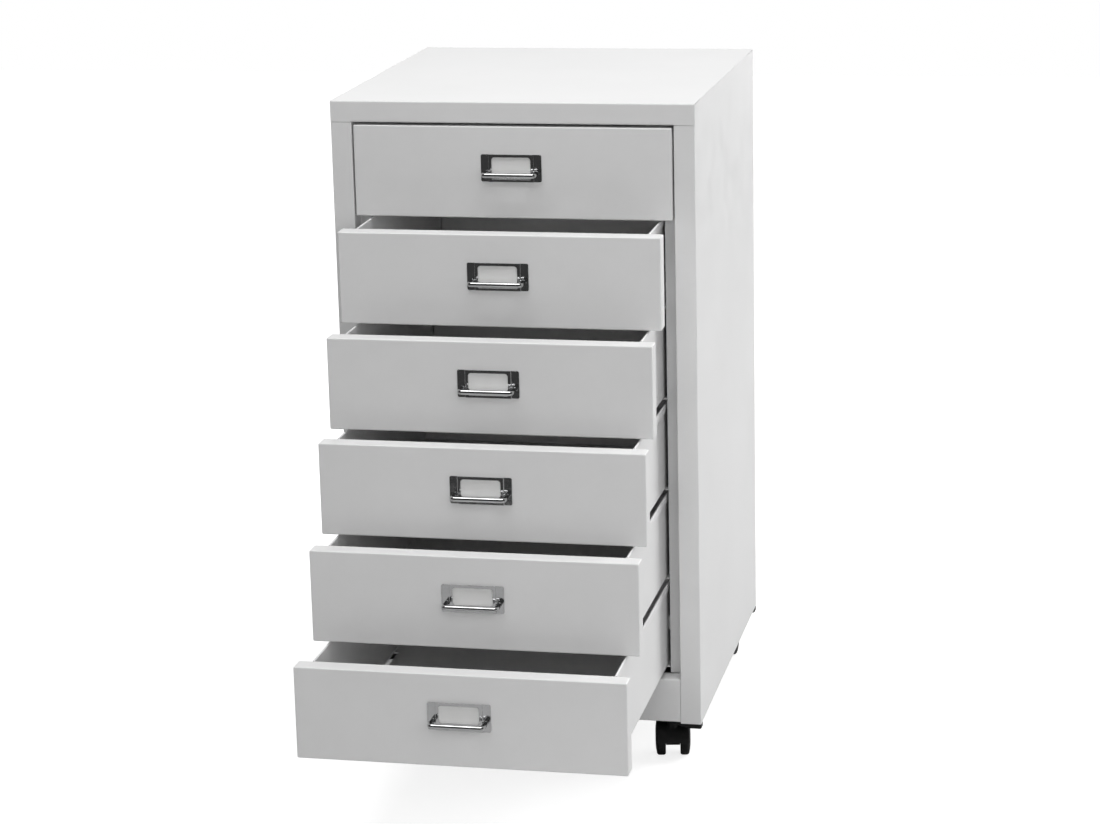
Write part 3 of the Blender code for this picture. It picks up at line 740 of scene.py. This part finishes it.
def drawer_tray():
    """Tray with hemmed side walls, open rear corners, a slot along each side and a stop tab on each wall."""
    wall_top = FRONT_HEIGHT - TRAY_SHEET
    bm = bmesh.new()
    flat_blank(bm, (-TRAY_HALF, TRAY_FRONT, TRAY_LIFT), (2 * TRAY_HALF, 0, 0),
               (0, TRAY_BACK - TRAY_FRONT, 0))
    fold(bm, list(bm.edges), (0, 0, wall_top - TRAY_LIFT))
    folds = [edge for edge in bm.edges if len(edge.link_faces) == 2]
    round_edges(bm, folds, TRAY_FOLD)
    for side in (-1, 1):
        hem = edges_on(bm.edges, "x", side * TRAY_HALF, "z", wall_top - NEAR, wall_top + NEAR)
        top = fold(bm, hem, (side * HEM_GAP, 0, 0))
        fold(bm, top, (0, 0, -HEM_DROP))
    round_edges(bm, bends_over(bm, HEM_ANGLE), HEM_FOLD, HEM_STEPS)

    slot_outer = TRAY_HALF - TRAY_SHEET - SLOT_TO_WALL
    slot_inner = slot_outer - SLOT_WIDTH
    slot_back = STOP_FRONT - SLOT_TO_STOP
    slot_front = slot_back - SLOT_LENGTH
    seam_outer = TRAY_HALF - TRAY_FOLD
    seam_inner = seam_outer - CORNER_SEAM
    score(bm, "x", -slot_outer, -slot_inner, slot_inner, slot_outer)
    score(bm, "y", slot_front, slot_back)
    score(bm, "x", -seam_outer, -seam_inner, seam_inner, seam_outer)
    score(bm, "z", CORNER_SEAM_FOOT)
    slots = faces_within(bm, (slot_inner, slot_front, TRAY_LIFT - NEAR),
                         (slot_outer, slot_back, TRAY_LIFT + NEAR))
    seams = faces_within(bm, (seam_inner, TRAY_BACK - NEAR, CORNER_SEAM_FOOT),
                         (seam_outer, TRAY_BACK + NEAR, FRONT_HEIGHT))
    bmesh.ops.delete(bm, geom=slots + seams, context="FACES")
    face_outward(bm, (0, 0, -1))

    stop_low = (TRAY_LIFT + FRONT_HEIGHT - STOP_HEIGHT) / 2
    for side in (-1, 1):
        root = side * (TRAY_HALF - TRAY_SHEET / 2)
        reach = side * (FLANGE_EDGE + STOP_OVERLAP)
        flat_blank(bm, (root, STOP_FRONT + SHEET, stop_low), (reach - root, 0, 0), (0, 0, STOP_HEIGHT))
    return mesh_from(bm, "drawer_tray")


# Drawer fittings, with the front's face at y = 0 and the holder's middle at z = 0

def label_holder():
    """Pressed frame with two wings, a raised pocket, a round-cornered window and a bead under it."""
    half_width = HOLDER_WIDTH / 2 + HOLDER_TRIM
    half_height = HOLDER_HEIGHT / 2
    pocket = POCKET_WIDTH / 2
    hollow = pocket - HOLDER_SHEET
    wing_back = HOLDER_SHEET - WING_FACE
    pocket_back = HOLDER_SHEET - POCKET_FACE
    front = ((-half_width, -WING_FACE), (-pocket, -WING_FACE), (-pocket, -POCKET_FACE),
             (pocket, -POCKET_FACE), (pocket, -WING_FACE), (half_width, -WING_FACE))
    back = ((half_width, wing_back), (hollow, wing_back), (hollow, pocket_back),
            (-hollow, pocket_back), (-hollow, wing_back), (-half_width, wing_back))
    bm = drawn_out([(x, y, -half_height - HOLDER_TRIM) for x, y in front + back],
                   (0, 0, HOLDER_HEIGHT + 2 * HOLDER_TRIM))
    folds = [edge for edge in edges_along(bm, "z") if abs(abs(edge.verts[0].co.x) - pocket) < NEAR]
    round_edges(bm, folds, HOLDER_FOLD)
    plate = mesh_from(bm, "label_holder")

    outline = rounded_block("holder_outline", (-HOLDER_WIDTH / 2, -2 * POCKET_FACE, -half_height),
                            (HOLDER_WIDTH / 2, POCKET_FACE, half_height), HOLDER_CORNER)
    window_half = pocket - WINDOW_SIDE_MARGIN
    window = rounded_block("holder_window",
                           (-window_half, -3 * POCKET_FACE, WINDOW_BOTTOM_MARGIN - half_height),
                           (window_half, POCKET_FACE, half_height - WINDOW_TOP_MARGIN), WINDOW_CORNER)
    framed = cut_mesh(cut_mesh(plate, "INTERSECT", [outline]), "DIFFERENCE", [window])

    middle = -POCKET_FACE + HOLDER_SHEET / 2
    end_radius = BEAD_RADIUS - BEAD_END / 2
    profile = [(0.0, window_half), (end_radius, window_half), (BEAD_RADIUS, window_half - BEAD_END),
               (BEAD_RADIUS, BEAD_END - window_half), (end_radius, -window_half), (0.0, -window_half)]
    bead = turned("holder_bead", profile, BEAD_STEPS, (1, 0, 0), (0, middle, BEAD_HEIGHT - half_height))
    # The bead's back is flat and stays inside the sheet
    for vert in bead.vertices:
        vert.co.y = min(vert.co.y, middle + HOLDER_SHEET / 4)
    return cut_mesh(framed, "UNION", [bead])


def label_card():
    """Card in the pocket, behind the window."""
    half = POCKET_WIDTH / 2 - HOLDER_SHEET - SEAM
    end = HOLDER_HEIGHT / 2 - CARD_END_MARGIN
    face = POCKET_FACE - HOLDER_SHEET - SEAM
    return rounded_block("label_card", (-half, -face, -end), (half, CARD_THICKNESS - face, end),
                         CARD_CORNER, steps=3)


def wire_pull():
    """Bent wire: a leg straight out of each wing, a tight corner and the bar."""
    root = Vector((LEG_X, -WING_FACE - SEAM, -PULL_DROP))
    centre = Vector((LEG_X - PULL_BEND, PULL_BEND - PULL_REACH, -PULL_DROP))
    half = [root]
    for step in range(BEND_STEPS + 1):
        angle = math.pi / 2 * step / BEND_STEPS
        half.append(centre + PULL_BEND * Vector((math.cos(angle), -math.sin(angle), 0)))
    points = half + [Vector((-point.x, point.y, point.z)) for point in reversed(half)]
    curve = bpy.data.curves.new("wire_pull", "CURVE")
    curve.dimensions = "3D"
    curve.bevel_depth = WIRE_DIAMETER / 2
    curve.bevel_resolution = WIRE_RESOLUTION
    curve.use_fill_caps = True
    spline = curve.splines.new("POLY")
    spline.points.add(len(points) - 1)
    for target, point in zip(spline.points, points):
        target.co = (*point, 1.0)
    bm = bmesh.new()
    bm.from_mesh(evaluated_mesh(add_object("wire_pull", curve), "wire_pull"))
    bmesh.ops.remove_doubles(bm, verts=bm.verts, dist=NEAR)
    return mesh_from(bm, "wire_pull")


def build_drawers():
    front = drawer_front()
    tray = drawer_tray()
    holder = label_holder()
    card = label_card()
    pull = wire_pull()
    for number, share in enumerate(PULLED_OUT, start=1):
        body = f"drawer_{number}"
        low = CABINET_BOTTOM + RAIL_HEIGHT + FRONT_GAP + (DRAWER_COUNT - number) * DRAWER_PITCH
        place = Vector((0, FRONT_PLANE - share * DRAWER_TRAVEL, low))
        on_front = place + Vector((0, 0, HOLDER_MIDDLE))
        show(f"drawer_front_{number}", moved_copy(front, place), PAINT, body,
             thickness=SHEET, edge=SHEET_EDGE)
        show(f"drawer_tray_{number}", moved_copy(tray, place), PAINT, body,
             thickness=TRAY_SHEET, edge=SHEET_EDGE)
        show(f"label_holder_{number}", moved_copy(holder, on_front), CHROME, body,
             edge=HOLDER_EDGE, steps=3, limit=HOLDER_EDGE_ANGLE)
        show(f"label_card_{number}", moved_copy(card, on_front), CARD, body,
             edge=CARD_EDGE, limit=HOLDER_EDGE_ANGLE)
        show(f"wire_pull_{number}", moved_copy(pull, on_front), CHROME, body)


# Castors, with the stem on the Z axis and the floor at z = 0

def prism(name, outline, half_width, rounded=None, radius=0.0):
    """Outline in (y, z) drawn out to both sides, with the side edges that a test picks rounded."""
    bm = drawn_out([(-half_width, y, z) for y, z in outline], (2 * half_width, 0, 0))
    if rounded:
        round_edges(bm, [edge for edge in bm.edges if rounded(edge)], radius)
    return mesh_from(bm, name)


def castor_hood():
    """Web between the wheels with a cover over them, and the boss and stem that it turns on."""
    axle = (TRAIL, WHEEL_RADIUS)
    middle = Vector(axle)

    def on_rim(edge):
        first, second = (vert.co for vert in edge.verts)
        return abs(first.x - second.x) < NEAR and all(abs((co.yz - middle).length - COVER_OUTER) < NEAR
                                                      for co in (first, second))

    cover_outline = (arc(COVER_OUTER, COVER_REAR_ANGLE, COVER_FRONT_ANGLE, axle)
                     + arc(COVER_INNER, COVER_FRONT_ANGLE, COVER_REAR_ANGLE, axle))
    cover = prism("hood_cover", cover_outline, CASTOR_HALF, on_rim, COVER_RIM)
    web_rear = COVER_REAR_ANGLE + WEB_LAP
    web_front = COVER_FRONT_ANGLE - WEB_LAP
    web_outline = (arc((COVER_INNER + COVER_OUTER) / 2, web_rear, web_front, axle)
                   + arc(HOOD_LOWER_RADIUS, web_front, web_rear + 360, axle))
    web = prism("castor_hood", web_outline, HOOD_WEB / 2)
    collar = CASTOR_HEIGHT - SEAM
    boss = rod("hood_boss", HOOD_WEB / 2 - BOSS_INSET, collar, collar - BOSS_DEPTH, BOSS_STEPS,
               top_edge=BOSS_EDGE)
    stem = rod("hood_stem", STEM_RADIUS, CASTOR_HEIGHT + PLATE_THICKNESS - STEM_TOP_INSET,
               collar - BOSS_DEPTH / 2, PIN_STEPS, top_edge=STEM_EDGE)
    bore = rod("hood_bore", AXLE_BORE, HOOD_WEB, -HOOD_WEB, PIN_STEPS, (1, 0, 0), (0, *axle))
    return cut_mesh(cut_mesh(web, "UNION", [cover, boss, stem]), "DIFFERENCE", [bore])


def castor_wheel(side):
    """Wheel with a rounded shoulder, a domed outer face and a shallow hub round the axle."""
    hub_face = WHEEL_WIDTH - HUB_SINK
    shoulder_middle = (WHEEL_RADIUS - WHEEL_SHOULDER, WHEEL_WIDTH - WHEEL_SHOULDER - SHOULDER_SINK)
    profile = [(AXLE_BORE, hub_face), (HUB_RADIUS, hub_face)]
    profile += [(radius, WHEEL_WIDTH + rise) for radius, rise in WHEEL_FACE]
    profile += arc(WHEEL_SHOULDER, 90, 0, shoulder_middle, CORNER_STEPS)
    profile += [(WHEEL_RADIUS - inset, height) for inset, height in WHEEL_INNER_RIM]
    profile.append((AXLE_BORE, 0.0))
    return turned("castor_wheel", profile, WHEEL_STEPS, (side, 0, 0),
                  (side * WHEEL_INNER_FACE, TRAIL, WHEEL_RADIUS))


def castor_plate():
    """Corner plate for the front right corner."""
    far = PLATE_SIZE - STEM_INSET
    outline = ((STEM_INSET, -STEM_INSET), (STEM_INSET, PLATE_TIP - STEM_INSET), (PLATE_BACK - far, far),
               (-far, far), (-far, far - PLATE_BACK), (STEM_INSET - PLATE_TIP, -STEM_INSET))
    bm = drawn_out([(x, y, 0) for x, y in outline], (0, 0, PLATE_THICKNESS))
    round_edges(bm, edges_along(bm, "z"), PLATE_CORNER)
    socket = rod("stem_socket", STEM_RADIUS + RUNNING_CLEARANCE, 2 * PLATE_THICKNESS, -PLATE_THICKNESS,
                 PIN_STEPS)
    mesh = cut_mesh(mesh_from(bm, "castor_plate"), "DIFFERENCE", [socket])
    mesh.transform(Matrix.Translation((0, 0, CASTOR_HEIGHT)))
    return mesh


def castor_axle():
    """Pin through the web and both wheels."""
    half = CASTOR_HALF - WHEEL_DISH - AXLE_INSET
    return rod("castor_axle", AXLE_RADIUS, half, -half, PIN_STEPS, (1, 0, 0), (0, TRAIL, WHEEL_RADIUS),
               top_edge=AXLE_EDGE, foot_edge=AXLE_EDGE)


def build_castors():
    hood = castor_hood()
    plate = castor_plate()
    axle = castor_axle()
    wheels = (("left", castor_wheel(-1)), ("right", castor_wheel(1)))
    stem_x = HALF_WIDTH - STEM_INSET
    front = FRONT_PLANE + STEM_INSET
    back = FRONT_PLANE + CABINET_DEPTH - STEM_INSET
    front_turn = math.radians(FRONT_CASTOR_TURN)
    corners = (("front_right", stem_x, front, front_turn), ("rear_right", stem_x, back, 0),
               ("rear_left", -stem_x, back, 0), ("front_left", -stem_x, front, front_turn))
    for quarter, (corner, x, y, turn) in enumerate(corners):
        castor = f"{corner}_castor"
        place = (x, y, 0)
        show(f"{castor}_plate", moved_copy(plate, place, quarter * math.pi / 2), PLASTIC, "cabinet",
             edge=MOULDED_EDGE, steps=3)
        show(f"{castor}_hood", moved_copy(hood, place, turn), PLASTIC, castor, edge=MOULDED_EDGE, steps=3)
        show(f"{castor}_axle", moved_copy(axle, place, turn), STEEL, castor)
        for side, mesh in wheels:
            show(f"{castor}_wheel_{side}", moved_copy(mesh, place, turn), TREAD, f"{castor}_wheel_{side}")


# Studio

def grey(value):
    return (value, value, value, 1.0)


def map_range(nodes, links, value, start, end, low=0.0):
    """A value from low to 1 while another goes from start to end."""
    node = nodes.new("ShaderNodeMapRange")
    node.inputs["From Min"].default_value = start
    node.inputs["From Max"].default_value = end
    node.inputs["To Min"].default_value = low
    links.new(value, node.inputs["Value"])
    return node.outputs["Result"]


def to_eye(nodes, links, backdrop=None):
    """How much of a ray comes from the camera, through glass, or off a mirror towards the backdrop."""
    path = nodes.new("ShaderNodeLightPath").outputs
    seen = math_node(nodes, links, "MAXIMUM", path["Is Camera Ray"], path["Is Transmission Ray"])
    if backdrop is None:
        return seen
    mirrored = math_node(nodes, links, "MULTIPLY", path["Is Glossy Ray"], backdrop)
    return math_node(nodes, links, "MAXIMUM", seen, mirrored)


def build_floor():
    """Pale floor that reaches a good metre in front of the pedestal, reads as white and keeps its shadow."""
    bm = bmesh.new()
    flat_blank(bm, (-FLOOR_WIDTH / 2, FRONT_PLANE - FLOOR_IN_FRONT, 0), (FLOOR_WIDTH, 0, 0),
               (0, FLOOR_DEPTH, 0))
    floor = add_object("studio_floor", mesh_from(bm, "studio_floor"))
    material = bpy.data.materials.new("studio_white")
    material.use_nodes = True
    nodes = material.node_tree.nodes
    links = material.node_tree.links
    shader = nodes["Principled BSDF"]
    shader.inputs["Base Color"].default_value = grey(FLOOR_GREY)
    shader.inputs["Roughness"].default_value = FLOOR_ROUGHNESS
    place = nodes.new("ShaderNodeTexCoord")
    distance = nodes.new("ShaderNodeVectorMath")
    distance.operation = "LENGTH"
    links.new(place.outputs["Object"], distance.inputs[0])
    brightness = map_range(nodes, links, distance.outputs["Value"], GLOW_START, GLOW_END, GLOW_UNDER)
    strength = math_node(nodes, links, "MULTIPLY", brightness, to_eye(nodes, links))
    glow = nodes.new("ShaderNodeEmission")
    links.new(strength, glow.inputs["Strength"])
    both = nodes.new("ShaderNodeAddShader")
    links.new(shader.outputs["BSDF"], both.inputs[0])
    links.new(glow.outputs["Emission"], both.inputs[1])
    links.new(both.outputs["Shader"], nodes["Material Output"].inputs["Surface"])
    floor.data.materials.append(material)


def build_world():
    """White backdrop to the camera and, behind the pedestal, in metal; a dim room with a paler ceiling."""
    world = bpy.data.worlds.new("studio")
    bpy.context.scene.world = world
    world.use_nodes = True
    nodes = world.node_tree.nodes
    links = world.node_tree.links
    room = nodes["Background"]
    place = nodes.new("ShaderNodeTexCoord")
    parts = nodes.new("ShaderNodeSeparateXYZ")
    links.new(place.outputs["Generated"], parts.inputs["Vector"])
    ramp = nodes.new("ShaderNodeValToRGB")
    wall, ceiling = ramp.color_ramp.elements
    wall.position = WALL_END
    wall.color = grey(WALL_GREY)
    ceiling.position = CEILING_START
    ceiling.color = grey(CEILING_GREY)
    links.new(map_range(nodes, links, parts.outputs["Z"], -1.0, 1.0), ramp.inputs["Fac"])
    links.new(ramp.outputs["Color"], room.inputs["Color"])
    white = nodes.new("ShaderNodeBackground")
    white.inputs["Color"].default_value = grey(1.0)
    behind = map_range(nodes, links, parts.outputs["Y"], BACKDROP_START, BACKDROP_END)
    mix = nodes.new("ShaderNodeMixShader")
    links.new(to_eye(nodes, links, behind), mix.inputs["Fac"])
    links.new(room.outputs["Background"], mix.inputs[1])
    links.new(white.outputs["Background"], mix.inputs[2])
    links.new(mix.outputs["Shader"], nodes["World Output"].inputs["Surface"])


def area_light(name, place, target, width, height, power, mirrored=True):
    data = bpy.data.lights.new(name, "AREA")
    data.shape = "RECTANGLE"
    data.size = width
    data.size_y = height
    data.energy = power
    item = add_object(name, data)
    item.location = place
    item.rotation_euler = (Vector(target) - Vector(place)).to_track_quat("-Z", "Y").to_euler()
    item.visible_glossy = mirrored


def build_lights():
    """A wide light overhead, one on the right, and two fills that the metal doesn't mirror."""
    middle = (0.0, FRONT_PLANE + 0.1, 0.35)
    upper_front = (0.0, FRONT_PLANE - 0.25, 0.6)
    area_light("overhead", (0.0, FRONT_PLANE - 0.55, 3.0), upper_front, width=2.6, height=1.2, power=56.4)
    area_light("right_side", (2.2, FRONT_PLANE + 1.5, 1.2), middle, width=1.8, height=1.8, power=50.5)
    area_light("eye_fill", (-0.5, FRONT_PLANE - 2.6, 1.15), middle, width=1.4, height=0.9, power=6.7,
               mirrored=False)
    area_light("low_fill", (1.15, FRONT_PLANE - 2.0, 1.0), middle, width=2.4, height=1.4, power=15.7,
               mirrored=False)


def build_camera():
    azimuth = math.radians(CAMERA_AZIMUTH)
    elevation = math.radians(CAMERA_ELEVATION)
    roll = math.radians(CAMERA_ROLL)
    back = Vector((math.sin(azimuth) * math.cos(elevation), -math.cos(azimuth) * math.cos(elevation),
                   math.sin(elevation)))
    right = (-back).cross(Vector((0, 0, 1))).normalized()
    up = right.cross(-back)
    rolled_right = math.cos(roll) * right + math.sin(roll) * up
    rolled_up = math.cos(roll) * up - math.sin(roll) * right
    target = Vector((TARGET_RIGHT, FRONT_PLANE, CABINET_BOTTOM + TARGET_ABOVE_BOTTOM))
    data = bpy.data.cameras.new("photo_camera")
    data.sensor_width = CAMERA_SENSOR
    data.sensor_fit = "HORIZONTAL"
    data.lens = CAMERA_LENS
    camera = add_object("photo_camera", data)
    axes = Matrix((rolled_right, rolled_up, back)).transposed().to_4x4()
    camera.matrix_world = Matrix.Translation(target + CAMERA_DISTANCE * back) @ axes
    bpy.context.scene.camera = camera


build_cabinet()
build_drawers()
build_castors()
build_floor()
build_world()
build_lights()
build_camera()
bpy.context.scene.view_settings.view_transform = "Standard"
